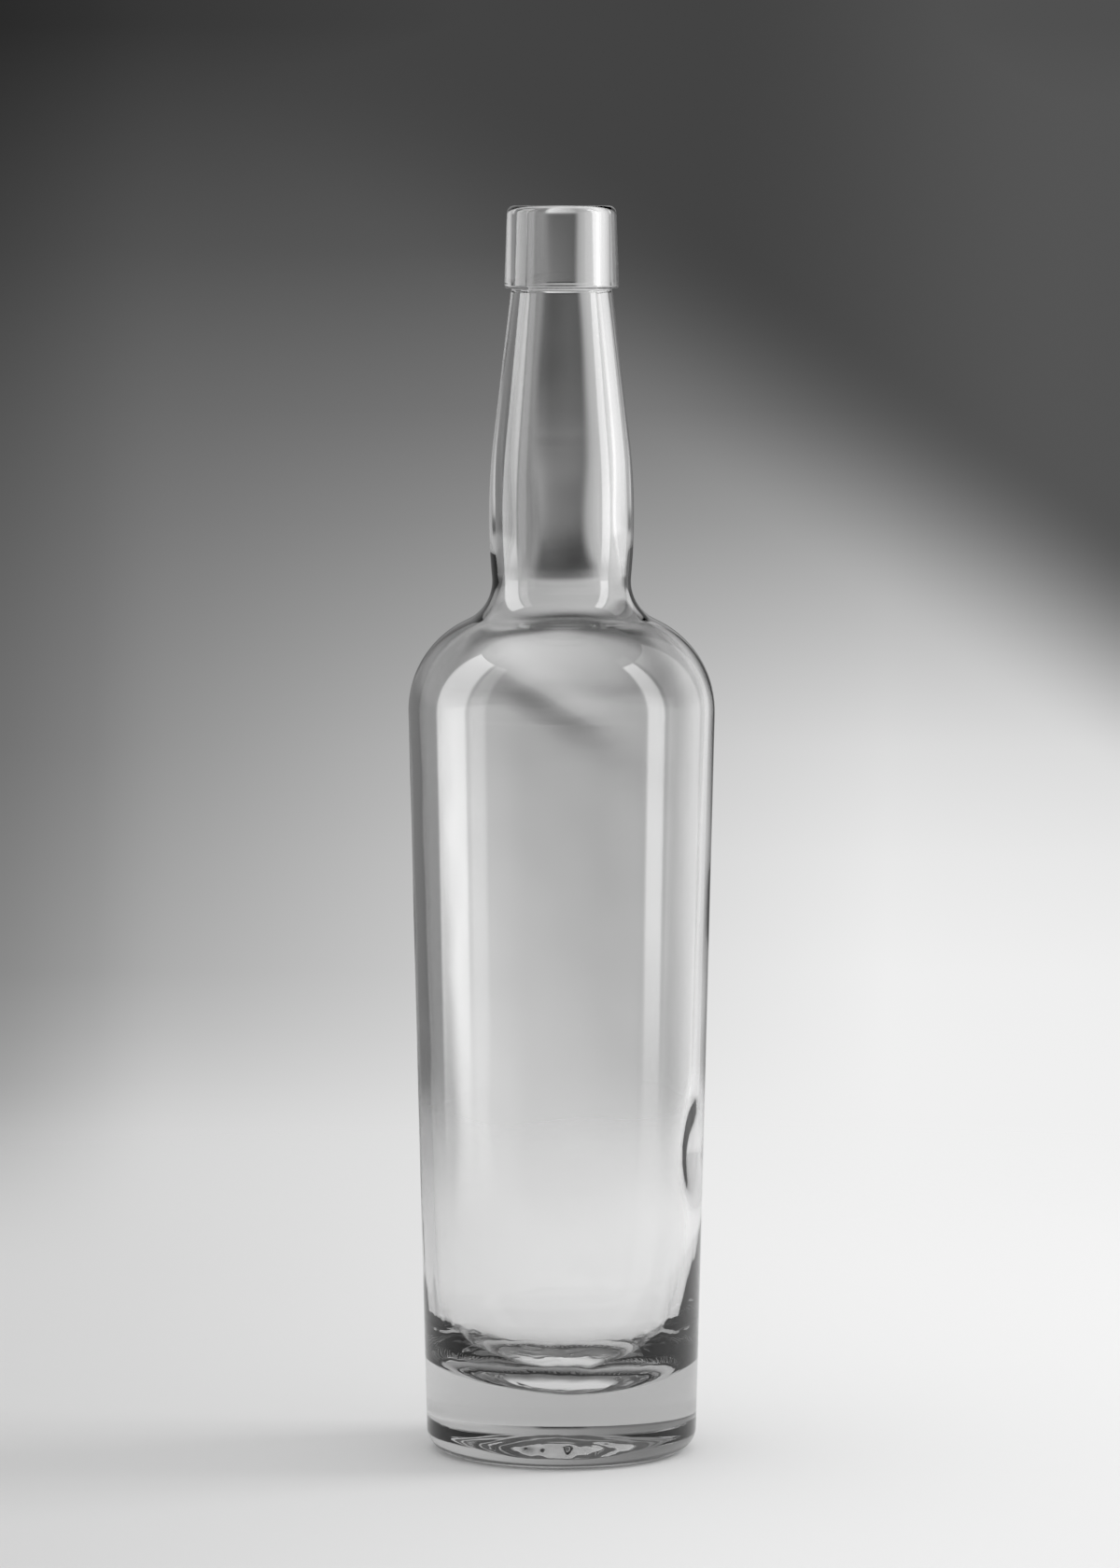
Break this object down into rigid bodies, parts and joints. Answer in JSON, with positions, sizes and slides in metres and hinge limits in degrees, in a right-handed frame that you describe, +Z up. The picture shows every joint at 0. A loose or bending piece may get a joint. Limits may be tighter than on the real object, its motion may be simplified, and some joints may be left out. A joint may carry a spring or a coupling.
{
  "type": "mezcal bottle",
  "caption": "Empty clear glass spirits bottle with a tapered round body, curved shoulder, swollen neck, plain banded mouth and thick base with a notched rim.",
  "frame": {"origin": "centre of the contact ring, on the surface that the bottle stands on", "axes": "+Z up along the bottle's axis, towards the mouth; the body is round, so +X and +Y are free"},
  "size_m": [0.0798, 0.0798, 0.325],
  "materials": {
    "glass": "polished clear flint glass"
  },
  "bodies": {
    "root": {"bottle": "glass"}
  },
  "joints": []
}
